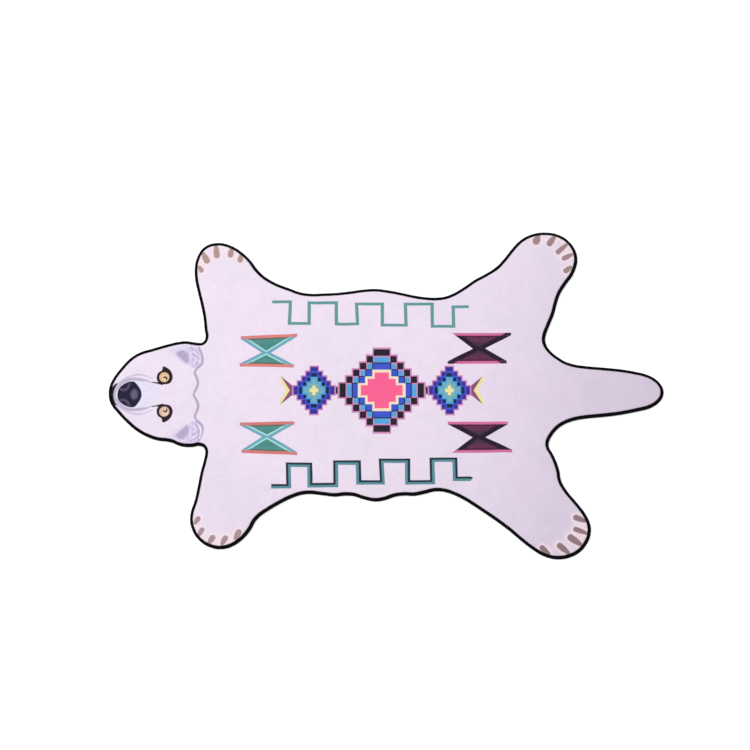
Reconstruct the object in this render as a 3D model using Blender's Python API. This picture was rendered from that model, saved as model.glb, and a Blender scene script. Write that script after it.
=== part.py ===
"""A floor rug cut in the shape of a bear skin, lying flat with its head towards -X and its tail towards +X.

Two sewn pieces: the mat, one flat cut of short-pile cloth, and the tape that is folded over its raw edge
and stitched down all the way round. The pile is squeezed thin inside the fold and stands full height
beside it.
"""

from collections import namedtuple
from math import radians

import bmesh
import bpy
from mathutils import Vector

MM = 0.001

# Mat, in millimetres. Every height is measured from the floor.
PILE_TOP = 8.0
PILE_EDGE_ROUND = 3.3  # the pile rolls over beside the tape within this width
UNDERSIDE_ROUND = 0.7
# The roll in steps, from the tape inwards: each row is a share of the round's width and of its height
Roll = namedtuple("Roll", "across up")
PILE_ROLL = [Roll(0.05, 0.45), Roll(0.28, 0.40), Roll(0.67, 0.15)]
UNDERSIDE_ROLL = [Roll(0.2, 0.7), Roll(0.8, 0.3)]

# Edge tape, in millimetres
TAPE_THICKNESS = 1.0
TAPE_WIDTH = 7.5  # how far the fold reaches in from the outer edge, above and below
TAPE_BOTTOM = 0.3  # the stitching draws it up a little off the floor
TAPE_TOP = 7.3
TAPE_CORNER = 1.6  # roundness of the fold
ROUND_MIDDLE = 0.293  # the middle of a quarter round lies this share of its radius in from both its sides

GAP = 0.3  # between the mat and the tape
CURVE_STEPS = 8  # fine steps between two marks of the outline, before they are thinned out
MOST_TURN = 10.0  # degrees that the edge may turn from one kept point to the next
LONGEST_STEP = 40.0

# The outline, in millimetres from the middle of the rug. A row names one place on the animal and gives it
# twice: on the far side, towards +Y, and on the near side, towards -Y, which aren't cut quite alike.
# x runs from head to tail, and out is the distance from the spine.
Mark = namedtuple("Mark", "place far_x far_out near_x near_out")

HEAD = [
    Mark("lip", -746, 22, -743, 34),
    Mark("muzzle", -728, 52, -714, 68),
    Mark("jaw", -702, 85, -689, 93),
    Mark("cheek", -675, 105, -655, 117),
    Mark("brow", -622, 122, -614, 133),
    Mark("ear, front", -576, 135, -578, 138),
    Mark("ear, back", -544, 139, -549, 149),
    Mark("nape", -516, 135, -522, 151),
    Mark("neck fold, in", -500, 136, -500, 148),
    Mark("neck fold, out", -493, 148, -487, 155),
]

FORELEG = [
    Mark("chest", -496, 172, -487, 180),
    Mark("forearm", -502, 216, -496, 220),
    Mark("wrist", -518, 278, -507, 284),
    Mark("paw, front", -528, 338, -520, 340),
    Mark("first claw", -520, 381, -513, 371),
    Mark("second claw", -500, 407, -495, 397),
    Mark("paw tip", -463, 417, -462, 417),
    Mark("fourth claw", -432, 410, -427, 420),
    Mark("fifth claw", -401, 392, -393, 406),
    Mark("paw, back", -372, 364, -362, 376),
    Mark("elbow", -345, 330, -343, 344),
    Mark("upper arm", -305, 303, -308, 317),
    Mark("armpit", -262, 286, -268, 295),
]

FLANK = [
    Mark("ribs, front", -225, 274, -224, 278),
    Mark("ribs, middle", -172, 273, -188, 277),
    Mark("ribs, back", -112, 277, -145, 283),
    Mark("belly, front", -78, 282, -93, 281),
    Mark("belly, middle", -34, 286, -53, 292),
    Mark("belly, back", 22, 279, -24, 296),
    Mark("loin, front", 72, 268, 36, 281),
    Mark("loin, back", 104, 263, 76, 281),
    Mark("waist", 136, 261, 140, 269),
    Mark("groin", 168, 266, 180, 279),
]

HINDLEG = [
    Mark("thigh, front", 202, 283, 230, 307),
    Mark("thigh, middle", 245, 312, 275, 337),
    Mark("thigh, back", 306, 349, 318, 368),
    Mark("knee", 340, 389, 360, 403),
    Mark("shin", 370, 422, 400, 432),
    Mark("first claw", 403, 441, 428, 444),
    Mark("paw tip", 443, 447, 458, 447),
    Mark("third claw", 480, 440, 491, 439),
    Mark("fourth claw", 512, 416, 520, 418),
    Mark("fifth claw", 529, 377, 540, 376),
    Mark("heel", 521, 336, 533, 339),
    Mark("hock, low", 494, 295, 509, 304),
    Mark("hock, high", 476, 265, 467, 244),
    Mark("shank", 463, 221, 461, 211),
    Mark("thigh fold", 442, 170, 449, 176),
    Mark("rump", 434, 143, 435, 145),
    Mark("rump, low", 439, 123, 443, 124),
]

TAIL = [
    Mark("tail root, side", 461, 100, 460, 103),
    Mark("tail root", 490, 81, 487, 86),
    Mark("tail, quarter", 541, 70, 534, 75),
    Mark("tail, half", 600, 65, 602, 68),
    Mark("tail, three quarters", 672, 55, 672, 56),
    Mark("tail, round", 716, 42, 713, 45),
    Mark("tail, side", 742, 21, 741, 25),
]

NOSE_TIP = (-750, -6)
TAIL_TIP = (750, -3)

COLOURS = {  # Principled base colour, roughness, sheen
    "pile": ((0.82, 0.71, 0.84), 0.92, 0.5),
    "edge_tape": ((0.011, 0.010, 0.014), 0.78, 0.2),
}


def clear_scene():
    for thing in list(bpy.data.objects):
        bpy.data.objects.remove(thing)


def new_collection(name):
    made = bpy.data.collections.new(name)
    bpy.context.scene.collection.children.link(made)
    return made


def cloth(name):
    colour, roughness, sheen = COLOURS[name]
    material = bpy.data.materials.new(name)
    material.use_nodes = True
    shader = material.node_tree.nodes["Principled BSDF"]
    shader.inputs["Base Color"].default_value = (*colour, 1.0)
    shader.inputs["Roughness"].default_value = roughness
    shader.inputs["Sheen Weight"].default_value = sheen
    shader.inputs["Metallic"].default_value = 0.0
    return material


def outline_marks():
    """Round the rug once: nose, along the far side to the tail's tip, and back along the near side."""
    sections = HEAD + FORELEG + FLANK + HINDLEG + TAIL
    far = [(mark.far_x, mark.far_out) for mark in sections]
    near = [(mark.near_x, -mark.near_out) for mark in reversed(sections)]
    return [NOSE_TIP, *far, TAIL_TIP, *near]


def outline_points(guides):
    """The outer edge as closely spaced points, read from a smooth closed curve through the marks."""
    marks = outline_marks()
    data = bpy.data.curves.new("outline", "CURVE")
    data.dimensions = "3D"
    data.resolution_u = CURVE_STEPS
    spline = data.splines.new("BEZIER")
    spline.bezier_points.add(len(marks) - 1)
    spline.use_cyclic_u = True
    for point, (x, y) in zip(spline.bezier_points, marks):
        point.co = Vector((x, y, 0.0)) * MM
        point.handle_left_type = point.handle_right_type = "AUTO"
    guide = bpy.data.objects.new("outline", data)
    guides.objects.link(guide)
    guide.hide_render = True
    guide.display_type = "WIRE"
    evaluated = guide.evaluated_get(bpy.context.evaluated_depsgraph_get())
    points = [vertex.co.copy() for vertex in evaluated.to_mesh().vertices]
    evaluated.to_mesh_clear()
    return centred(thinned(points))


def thinned(points):
    """Keeps a point where the edge has turned or run on far enough, so round stretches stay the finer."""
    kept = [points[0]]
    turned = 0.0
    for before, point, after in zip(points, points[1:], points[2:]):
        turned += abs((point - before).to_2d().angle_signed((after - point).to_2d()))
        if turned >= radians(MOST_TURN) or (after - kept[-1]).length > LONGEST_STEP * MM:
            kept.append(point)
            turned = 0.0
    return kept


def centred(points):
    """Moves the points so that the middle of the rug's length and width is the origin."""
    low = Vector(map(min, *points))
    high = Vector(map(max, *points))
    middle = (low + high) / 2
    return [point - middle for point in points]


def inset(mesh, face, width, rise):
    """Draws a face in from its rim by width and moves it out by rise, both in millimetres."""
    bmesh.ops.inset_region(
        mesh, faces=[face], thickness=width * MM, depth=rise * MM, use_boundary=True, use_even_offset=True
    )


def build_mat(points, collection):
    """A tongue that fills the tape's fold, then the full pile above it and the flat back below it."""
    tongue_edge = TAPE_THICKNESS + GAP
    tongue_bottom = TAPE_BOTTOM + TAPE_THICKNESS + GAP
    tongue_top = TAPE_TOP - TAPE_THICKNESS - GAP
    tongue_reach = TAPE_WIDTH + GAP - tongue_edge
    pile_rise = PILE_TOP - tongue_top

    mesh = bmesh.new()
    outer_edge = [mesh.verts.new((point.x, point.y, tongue_bottom * MM)) for point in points]
    below = mesh.faces.new(outer_edge)
    below.normal_update()
    inset(mesh, below, tongue_edge, 0.0)
    bmesh.ops.delete(mesh, geom=outer_edge, context="VERTS")
    lifted = bmesh.ops.extrude_face_region(mesh, geom=[below], use_keep_orig=True)["geom"]
    lifted_faces = [item for item in lifted if isinstance(item, bmesh.types.BMFace)]
    above = max(lifted_faces, key=lambda face: len(face.verts))
    bmesh.ops.translate(mesh, verts=above.verts, vec=(0.0, 0.0, (tongue_top - tongue_bottom) * MM))
    bmesh.ops.recalc_face_normals(mesh, faces=mesh.faces)

    inset(mesh, above, tongue_reach, 0.0)
    for roll in PILE_ROLL:
        inset(mesh, above, roll.across * PILE_EDGE_ROUND, roll.up * pile_rise)
    inset(mesh, below, tongue_reach, 0.0)
    for roll in UNDERSIDE_ROLL:
        inset(mesh, below, roll.across * UNDERSIDE_ROUND, roll.up * tongue_bottom)

    data = bpy.data.meshes.new("mat")
    mesh.to_mesh(data)
    mesh.free()
    data.materials.append(cloth("pile"))
    mat = bpy.data.objects.new("mat", data)
    collection.objects.link(mat)


def tape_section(guides):
    """The folded tape's cross-section: local x runs in from the outer edge, local y is the height."""
    round_in = ROUND_MIDDLE * TAPE_CORNER
    fold = [
        (TAPE_WIDTH, TAPE_BOTTOM),
        (TAPE_CORNER, TAPE_BOTTOM),
        (round_in, TAPE_BOTTOM + round_in),
        (0.0, TAPE_BOTTOM + TAPE_CORNER),
        (0.0, TAPE_TOP - TAPE_CORNER),
        (round_in, TAPE_TOP - round_in),
        (TAPE_CORNER, TAPE_TOP),
        (TAPE_WIDTH, TAPE_TOP),
        (TAPE_WIDTH, TAPE_TOP - TAPE_THICKNESS),
        (TAPE_THICKNESS, TAPE_TOP - TAPE_THICKNESS),
        (TAPE_THICKNESS, TAPE_BOTTOM + TAPE_THICKNESS),
        (TAPE_WIDTH, TAPE_BOTTOM + TAPE_THICKNESS),
    ]
    data = bpy.data.curves.new("tape_section", "CURVE")
    data.dimensions = "2D"
    data.fill_mode = "NONE"
    spline = data.splines.new("POLY")
    spline.points.add(len(fold) - 1)
    spline.use_cyclic_u = True
    for point, (reach, height) in zip(spline.points, fold):
        point.co = (reach * MM, height * MM, 0.0, 1.0)
    section = bpy.data.objects.new("tape_section", data)
    guides.objects.link(section)
    section.hide_render = True
    section.display_type = "WIRE"
    return section


def build_edge_tape(points, collection, guides):
    data = bpy.data.curves.new("edge_tape", "CURVE")
    data.dimensions = "2D"
    data.fill_mode = "NONE"
    data.bevel_mode = "OBJECT"
    data.bevel_object = tape_section(guides)
    spline = data.splines.new("POLY")
    spline.points.add(len(points) - 1)
    spline.use_cyclic_u = True
    for place, point in zip(spline.points, points):
        place.co = (point.x, point.y, 0.0, 1.0)
    data.materials.append(cloth("edge_tape"))
    tape = bpy.data.objects.new("edge_tape", data)
    collection.objects.link(tape)


def main():
    clear_scene()
    rug = new_collection("bear_shaped_rug")
    guides = new_collection("guides")
    guides.hide_render = True
    points = outline_points(guides)
    build_mat(points, rug)
    build_edge_tape(points, rug, guides)


main()
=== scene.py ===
# Bear-shaped floor rug: printed short-pile cloth with a folded black tape sewn round its edge.
# Lengths in the dictionaries are millimetres, colours are screen values from 0 to 255.
# x runs from the head to the tail, y across the rug, and z is up out of the pile.
import math

import bpy
import numpy as np
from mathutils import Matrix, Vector
from mathutils.geometry import delaunay_2d_cdt, tessellate_polygon
from mathutils.kdtree import KDTree


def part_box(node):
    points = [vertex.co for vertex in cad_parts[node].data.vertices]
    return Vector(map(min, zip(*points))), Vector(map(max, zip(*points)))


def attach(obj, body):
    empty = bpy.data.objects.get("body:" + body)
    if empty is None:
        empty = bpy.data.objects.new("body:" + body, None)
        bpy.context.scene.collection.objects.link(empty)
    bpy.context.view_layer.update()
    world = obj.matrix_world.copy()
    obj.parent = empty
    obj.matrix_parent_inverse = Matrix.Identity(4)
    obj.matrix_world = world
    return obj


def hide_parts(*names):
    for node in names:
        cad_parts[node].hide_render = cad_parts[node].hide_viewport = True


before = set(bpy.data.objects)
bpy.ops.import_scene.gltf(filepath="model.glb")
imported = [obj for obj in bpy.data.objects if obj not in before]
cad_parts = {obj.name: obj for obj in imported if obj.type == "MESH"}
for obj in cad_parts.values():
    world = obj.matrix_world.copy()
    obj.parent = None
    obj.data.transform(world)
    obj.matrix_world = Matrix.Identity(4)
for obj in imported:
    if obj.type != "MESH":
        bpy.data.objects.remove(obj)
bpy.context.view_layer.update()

mm = 0.001
studioGain = 1.055         # how much brighter than its dye a flat lit surface looks in this light
latticeSize = 256          # of the random values that softNoise repeats
seeds = {"handX": 3, "handY": 4, "ripple": 11, "fineRipple": 12, "swell": 13, "pucker": 21, "finePucker": 22,
         "wander": 23, "fray": 24, "stitches": 31, "fibres": 41, "locks": 42, "clouds": 50}


def dye(colour):
    # a screen colour as the cloth's own linear colour
    share = np.array(colour, float) / 255.0
    linear = np.where(share <= 0.04045, share / 12.92, ((share + 0.055) / 1.055) ** 2.4)
    return linear / studioGain


def dyed(colour):
    return tuple(dye(colour)) + (1.0,)


def eased(share):
    return share * share * (3.0 - 2.0 * share)


def between(first, second, share):
    return first * (1 - share) + second * share


def softNoise(spots, size, seed):
    # smooth random hills and hollows between -1 and 1, about one size across
    lattice = np.random.default_rng(seed).uniform(-1.0, 1.0, (latticeSize, latticeSize))
    cell = np.asarray(spots, float) / size
    base = np.floor(cell).astype(int)
    blend = eased(cell - base)
    corners = [lattice[tuple((base + (right, up)).T % latticeSize)] for up in (0, 1) for right in (0, 1)]
    low, high = (between(*corners[row:row + 2], blend[:, 0]) for row in (0, 2))
    return between(low, high, blend[:, 1])


def onward(points):
    return np.roll(points, -1, axis=0)


def smoothThrough(points, steps=6, closed=False):
    # a smooth line through a few points, as a denser list of points
    points = np.array(points, float)
    if not closed:
        points = np.vstack([2 * points[0] - points[1], points, 2 * points[-1] - points[-2]])
    after = np.linalg.norm(onward(points) - points, axis=1)[:, None]
    before = np.roll(after, 1)
    rise = (onward(points) - points) / after
    slopes = (rise * before + np.roll(rise, 1, axis=0) * after) / (before + after)
    t = (np.arange(steps) / steps)[None, :, None]
    start, finish = points[:, None], onward(points)[:, None]
    leave, arrive = (slopes * after)[:, None], (onward(slopes) * after)[:, None]
    curve = (2 * t**3 - 3 * t**2 + 1) * start + (t**3 - 2 * t**2 + t) * leave
    curve = (curve + (3 * t**2 - 2 * t**3) * finish + (t**3 - t**2) * arrive).reshape(-1, 2)
    return curve if closed else np.vstack([curve[steps:-2 * steps], points[-2]])


def lengthsAlong(line):
    return np.concatenate([[0.0], np.cumsum(np.linalg.norm(np.diff(line, axis=0), axis=1))])


def evenlySpaced(line, spacing):
    # a closed line read again at equal steps
    ring = np.vstack([line, line[:1]])
    reach = lengthsAlong(ring)
    count = int(round(reach[-1] / spacing))
    along = np.arange(count) * reach[-1] / count
    return np.column_stack([np.interp(along, reach, ring[:, axis]) for axis in (0, 1)]), along, reach[-1]


def turning(line):
    # 1 where a closed line runs anticlockwise, otherwise -1
    x, y = line.T
    return 1 if np.sum(x * np.roll(y, -1) - y * np.roll(x, -1)) > 0 else -1


def unit(directions):
    return directions / np.linalg.norm(directions, axis=1)[:, None]


def inwardNormals(line):
    # unit directions pointing into a closed line
    ahead = unit(onward(line) - np.roll(line, 1, axis=0))
    return np.column_stack([-ahead[:, 1], ahead[:, 0]]) * turning(line)


def treeOf(spots):
    tree = KDTree(len(spots))
    for index, (x, y) in enumerate(spots):
        tree.insert((x, y, 0.0), index)
    tree.balance()
    return tree


# The outer edge, taken from the CAD tape where its fold is widest, and smoothed between the CAD's points
rim = {
    "foldRound": 1.6,      # the height under the tape's top where the fold is widest
    "sameHeight": 0.05,
    "smoothSteps": 16,
    "step": 1.0,
    "slack": 1.6, "slackTowards": (-0.8, 0.9),   # how much further in the tape is folded, on these edges
}


def cadRing(node, height, tolerance):
    spots = [tuple(round(value / mm, 4) for value in vertex.co) for vertex in node.data.vertices]
    links = {}
    for edge in node.data.edges:
        start, finish = (spots[i] for i in edge.vertices)
        if start != finish and max(abs(start[2] - height), abs(finish[2] - height)) < tolerance:
            links.setdefault(start, set()).add(finish)
            links.setdefault(finish, set()).add(start)
    first = min(links)
    ring, before = [first], None
    while True:
        following = min(spot for spot in links[ring[-1]] if spot != before)
        if following == first:
            return np.array(ring)[:, :2]
        before = ring[-1]
        ring.append(following)


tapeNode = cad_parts["edge_tape"]
tapeLow, tapeHigh = (corner.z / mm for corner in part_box("edge_tape"))
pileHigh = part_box("mat")[1].z / mm
outline = cadRing(tapeNode, tapeHigh - rim["foldRound"], rim["sameHeight"])
outline = smoothThrough(outline, rim["smoothSteps"], closed=True)
rimLine, rimAlong, rimLength = evenlySpaced(outline, rim["step"])
rimInward = inwardNormals(rimLine)
rimTree = treeOf(rimLine)
print(f"outline: {len(rimLine)} points, {rimLength / 1000:.3f} m round")


def tapeSlack(inward):
    return rim["slack"] * np.clip(inward @ np.array(rim["slackTowards"]), 0, 1)


def depthInside(spots):
    # how far in from the outer edge each spot lies, less the tape's slack there
    near = np.array([rimTree.find((x, y, 0.0))[1] for x, y in spots])
    return np.sum((spots - rimLine[near]) * rimInward[near], axis=1) - tapeSlack(rimInward[near])


def insetRing(depth, spacing, slack=True):
    line = evenlySpaced(rimLine, spacing)[0]
    inward = inwardNormals(line)
    return line + inward * (depth + tapeSlack(inward) * slack)[:, None]


# The print. Every mark is laid on in order, and a later one covers an earlier one.
inks = {
    "slateTeal": (100, 154, 156), "greyTeal": (88, 142, 153), "navy": (32, 48, 61),
    "rose": (225, 131, 124), "roseDeep": (216, 122, 117), "olive": (104, 100, 86),
    "waterTeal": (112, 170, 190), "armMauve": (200, 131, 143), "mint": (173, 229, 223),
    "pine": (75, 140, 133), "pineLight": (84, 149, 146), "pinkMauve": (210, 110, 157),
    "plumBlack": (32, 19, 38), "plum": (98, 50, 83), "plumShade": (66, 42, 66), "maroon": (97, 42, 77),
    # the four claw inks are the claws' colour partly darkened by painted shade, more towards the tail and on
    # the near side
    "maroonDeep": (78, 27, 58), "headFarClaw": (180, 151, 143), "headNearClaw": (170, 144, 150),
    "tailFarClaw": (162, 133, 134), "tailNearClaw": (143, 119, 122), "clawGlow": (251, 230, 232),
    "nose": (30, 25, 53), "noseGlow": (100, 96, 120), "nostril": (82, 78, 106),
    "mouth": (22, 18, 26), "eyeRing": (40, 22, 28), "amber": (231, 193, 147),
    "amberLow": (229, 193, 173), "amberGlow": (242, 216, 195), "amberShade": (216, 172, 116),
    "pupil": (44, 21, 12), "furLine": (181, 170, 196), "furLineLight": (200, 191, 214),
    "muzzle": (232, 229, 248), "earHaze": (228, 219, 244), "ear": (217, 205, 235),
    "earInner": (182, 168, 199), "earLine": (182, 169, 201), "earHair": (172, 158, 192),
    "earGlint": (242, 234, 254), "nape": (185, 171, 196), "coral": (250, 98, 147),
    "cream": (242, 228, 196), "straw": (238, 228, 160), "sky": (87, 164, 219), "cobalt": (62, 84, 204),
    "indigo": (52, 48, 150), "seaGrey": (116, 176, 184), "midnight": (18, 38, 74),
    "night": (34, 28, 40), "berry": (139, 78, 118), "mauvePink": (208, 140, 190),
}

printing = {
    "edge": 0.5,           # half the width over which an ink fades out at its border
    "pointSpacing": 2.5,   # along a printed border
    "blankSpacing": 4.6,   # where nothing is printed
    "clear": 2.1,          # blank points stay this far from the border points
    "merge": 0.7,
    "crisp": 2.5,          # softer inks than this get no border points
    "cornerReach": 1.1, "capPoints": 12, "shortest": 1e-6, "tiny": 1e-9,
    "handStep": 11.0, "handWave": 38.0, "handSway": 0.7,   # the wobble of a line drawn by hand
}
marks = []


def patch(ink, points, soft=printing["edge"], strength=1.0, widths=None):
    # a filled shape, or a drawn line where it has widths
    marks.append({"ink": ink, "points": np.array(points, float), "soft": soft, "strength": strength,
                  "widths": np.zeros(len(points)) if widths is None else widths, "closed": widths is None})


def stroke(ink, points, width, soft, strength=1.0):
    # a drawn line; its width changes evenly through the given widths
    shares = np.linspace(0, 1, len(points))
    widths = np.interp(shares, np.linspace(0, 1, np.size(width)), np.atleast_1d(width))
    patch(ink, points, soft, strength, widths)


def handPatch(ink, points, **look):
    # a filled shape whose sides have a small wobble, which neighbouring shapes share
    points = np.array([*points, points[0]], float)
    path = [points[:1]]
    for start, finish in zip(points[:-1], points[1:]):
        steps = max(1, round(np.linalg.norm(finish - start) / printing["handStep"]))
        path.append(start + (finish - start) * (np.arange(1, steps + 1) / steps)[:, None])
    path = np.vstack(path)[:-1]
    sway = [softNoise(path, printing["handWave"], seeds[axis]) for axis in ("handX", "handY")]
    patch(ink, path + np.column_stack(sway) * printing["handSway"], **look)


def crossing(start, ahead, other, along):
    # where two lines meet, each given by a point and a direction
    apart = start - other
    share = (along[0] * apart[1] - along[1] * apart[0]) / (ahead[0] * along[1] - ahead[1] * along[0])
    return start + ahead * share


def oval(middle, across, along, turn=0.0, count=36):
    angles = np.linspace(0, 2 * math.pi, count, endpoint=False)
    ahead, aside = np.cos(angles) * along / 2, np.sin(angles) * across / 2
    c, s = math.cos(turn), math.sin(turn)
    return np.column_stack([middle[0] + ahead * c - aside * s, middle[1] + ahead * s + aside * c])


# Key borders along both flanks. Each turn: x where the line leaves its level, x and y where it arrives.
borders = {
    "far": {
        "start": (-312, 248.5), "end": (227, 235),
        "turns": ((-262, -264, 188), (-210, -211, 246), (-136, -136, 186.5), (-78, -80, 242.5),
                  (-10, -10, 183.5), (55, 53, 242.5), (127, 126, 180), (185, 184, 235)),
        "lines": [("slateTeal", 8.2, 0.0)],   # ink, width, and how far it lies to the right of the path
        "knobs": [],
    },
    "near": {
        "start": (-306, -252), "end": (226, -232),
        "turns": ((-262.5, -264.5, -195), (-200.6, -199.6, -249), (-138, -139, -189.5), (-71.7, -70, -242),
                  (-14.2, -17.2, -184.5), (60.3, 60.3, -242), (120, 118, -182), (186.4, 186.4, -232.5)),
        "lines": [("greyTeal", 8.6, 4.8), ("navy", 5.6, -0.2)],
        "knobs": [("navy", (226.5, -233.6), 6.4)],
    },
}
uprightRuns = 1.13         # how much wider the runs across the rug are


def shifted(path, distance):
    # the same stepped path, moved to its right by distance
    ahead = unit(np.diff(path, axis=0))
    side = np.column_stack([ahead[:, 1] * uprightRuns, -ahead[:, 0]]) * distance
    return path + np.vstack([side[:1], side[:-1] + side[1:], side[-1:]])


def printBorder(border):
    path = [border["start"]]
    for leave, arrive, level in border["turns"]:
        path += [(leave, path[-1][1]), (arrive, level)]
    path = np.array([*path, border["end"]], float)
    for ink, width, shift in border["lines"]:
        left, right = (shifted(path, shift + half) for half in (-width / 2, width / 2))
        handPatch(ink, np.vstack([left, right[::-1]]))
    for ink, middle, width in border["knobs"]:
        patch(ink, oval(middle, width, width))


for border in borders.values():
    printBorder(border)

# Four hourglasses. Each half: the two ends of its bar's outer side. A slant makes the outer bar end in a point.
# over: the ends of the bars that the arm's ink covers. Without it, it covers all four.
hourglasses = {
    "headFar": {"outer": ((-396, 151.8), (-242, 159.4)), "inner": ((-397, 68.9), (-250, 66)),
                "waist": (-325.5, 106.8)},
    "headNear": {"outer": ((-387, -166.3), (-238, -172.3)), "inner": ((-393, -84), (-247, -81.4)),
                 "waist": (-320, -123), "bar": "roseDeep"},
    "tailFar": {"outer": ((180, 161), (341, 162)), "inner": ((167.3, 76), (327.3, 77)),
                "waist": (252.5, 118), "slant": 8.8, "over": ("outerRight", "innerLeft", "innerRight")},
    "tailNear": {"outer": ((175.5, -166.2), (337.3, -165.2)), "inner": ((165, -82), (327, -82)),
                 "waist": (248.5, -124), "slant": 9.6, "over": ()},
}
hourglassLooks = {
    "head": {"bar": "rose", "under": "olive", "base": "pineLight", "fill": "pine", "arm": "waterTeal",
             "line": "mint", "end": "armMauve", "endStrength": 0.62, "endReach": 15.0,
             "barWidth": 8.0, "underWidth": 3.6, "waist": 25.0, "armWidth": 7.6, "lineWidth": 3.8,
             "tip": None, "blur": 0.8},
    "tail": {"bar": "pinkMauve", "under": "maroonDeep", "base": "maroon", "fill": "plum",
             "arm": "plumBlack", "line": None, "end": "plumBlack", "endStrength": 1.0, "endReach": 14.0,
             "barWidth": 7.3, "underWidth": 4.6, "waist": 33.0, "armWidth": 12.9, "lineWidth": 0.0,
             "tip": "plumShade", "tipShare": 0.42, "tipBlur": 7.0, "blur": 1.8},
}
hourglassBoth = {"baseWidth": 13.0, "baseBlur": 2.4, "baseStrength": 0.6, "underLap": 2.0, "underBlur": 1.3,
                 "endBlur": 0.9}


def armSide(shoulder, pinch, inward, distance):
    # an arm's slanting side as a point and a direction, moved towards the half's middle
    ahead = (pinch - shoulder) / np.linalg.norm(pinch - shoulder)
    aside = np.array([-ahead[1], ahead[0]])
    return shoulder - aside * np.sign(aside[1] * inward) * distance, ahead


def triangleIn(shoulders, pinch, inward, distance):
    # left and right on the bar's inner side, and the tip near the waist
    sides = [armSide(*ends, inward, distance) for ends in zip(shoulders, pinch)]
    tops = [crossing(*side, shoulders[0], shoulders[1] - shoulders[0]) for side in sides]
    return *tops, crossing(*sides[0], *sides[1])


def besideBar(left, right, tip, depth):
    share = depth / abs(tip[1] - (left[1] + right[1]) / 2)
    return [left, right, right + (tip - right) * share, left + (tip - left) * share]


def printHourglass(shape, look):
    waist = np.array(shape["waist"], float)
    pinch = [waist - (look["waist"] / 2, 0), waist + (look["waist"] / 2, 0)]
    halves = {}
    for half in ("outer", "inner"):
        face = np.array(shape[half], float)
        inward = np.sign(waist[1] - face[0][1])
        shoulders = face + (0, inward * look["barWidth"])
        shoulders[0, 0] += shape.get("slant", 0.0) * (half == "outer")
        halves[half] = (face, shoulders, inward)
    handPatch(look["arm"], [*halves["outer"][1], pinch[1], *halves["inner"][1][::-1], pinch[0]])

    for half, (face, shoulders, inward) in halves.items():
        outside = triangleIn(shoulders, pinch, inward, look["armWidth"])
        if look["line"]:
            handPatch(look["line"], outside)
        inset = look["armWidth"] + look["lineWidth"]
        inside = triangleIn(shoulders, pinch, inward, inset)
        tip = inside[2]
        handPatch(look["fill"], inside, soft=look["blur"])
        if look["tip"]:
            patch(look["tip"], [tip + (side - tip) * look["tipShare"] for side in inside], look["tipBlur"])
        patch(look["base"], besideBar(*inside, look["baseWidth"]), look["baseBlur"], look["baseStrength"])
        behind = triangleIn(shoulders, pinch, inward, inset - look["underLap"])
        patch(look["under"], besideBar(*behind, look["underWidth"]), look["underBlur"])
        handPatch(shape.get("bar", look["bar"]), [*face, *shoulders[::-1]])
        for end, name in enumerate(("Left", "Right")):
            if half + name in shape.get("over", (half + name,)):
                along = (face[1 - end] - face[end]) / np.linalg.norm(face[1] - face[0])
                corner = [shoulders[end], face[end], face[end] + along * look["endReach"], outside[end]]
                handPatch(look["end"], corner, soft=look["endBlur"], strength=look["endStrength"])


for name, shape in hourglasses.items():
    printHourglass(shape, {**hourglassLooks[name[:4]], **hourglassBoth})

# A stepped kilim medallion along the spine, alike on both sides and at both ends.
# A row of stairs: ink, how many, run and rise of one, half the top's width, half the middle's height.
medallion = {
    "middle": (-12, 3),
    "centre": (("mauvePink", 5, 18.8, 19.0, 25, 23), ("night", 5, 18.4, 18.7, 22, 19.5),
               ("mauvePink", 4, 18.4, 18.7, 23.5, 20), ("sky", 4, 18.4, 18.7, 20.5, 16.5),
               ("midnight", 3, 18.4, 18.7, 26, 20.5), ("cobalt", 3, 18.4, 18.7, 23, 17.5),
               ("cream", 2, 19.5, 18.6, 25.5, 19.5), ("coral", 2, 18.5, 17.5, 19.5, 14)),
    "side": (("mauvePink", 4, 11.4, 13.4, 13.4, 14.6), ("indigo", 4, 11.2, 13.2, 10.4, 11.4),
             ("cobalt", 3, 11.2, 13.2, 11.6, 13.0), ("midnight", 3, 10.8, 12.6, 8.0, 9.4),
             ("sky", 2, 10.8, 12.6, 9.6, 11.6), ("seaGrey", 2, 10.0, 11.8, 5.6, 6.8),
             ("straw", 1, 7.0, 8.0, 4.5, 5.0)),
    "sideAt": 183.0,
    "link": (("mauvePink", 0, 0, 0, 12.2, 12.2), ("night", 0, 0, 0, 9.0, 9.0)),
    "linkAt": 121.5,
    "ends": (("berry", (238, 10), (273, 39), (250, 0), (273, -39), (238, -10)),
             ("straw", (273, 39), (248, 0), (273, -39), (276, -29.5), (259.5, 0), (276, 29.5))),
}


def printStairs(rows, x, y):
    # lozenges with stairs for sides
    for ink, steps, run, rise, tip, flat in rows:
        quarter = []
        for step in range(steps + 1):
            quarter.append((tip + (steps - step) * run, flat + step * rise))
            if step < steps:
                quarter.append((tip + (steps - step - 1) * run, flat + step * rise))
        upper = quarter + [(-across, up) for across, up in reversed(quarter)]
        lower = [(-across, -up) for across, up in upper]
        patch(ink, [(x + across, y + up) for across, up in upper + lower])


def printMedallion():
    x, y = medallion["middle"]
    for way in (-1, 1):
        printStairs(medallion["link"], x + way * medallion["linkAt"], y)
        for ink, *points in medallion["ends"]:
            patch(ink, [(x + way * along, y + up) for along, up in points])
        printStairs(medallion["side"], x + way * medallion["sideAt"], y)
    printStairs(medallion["centre"], x, y)


printMedallion()
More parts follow.
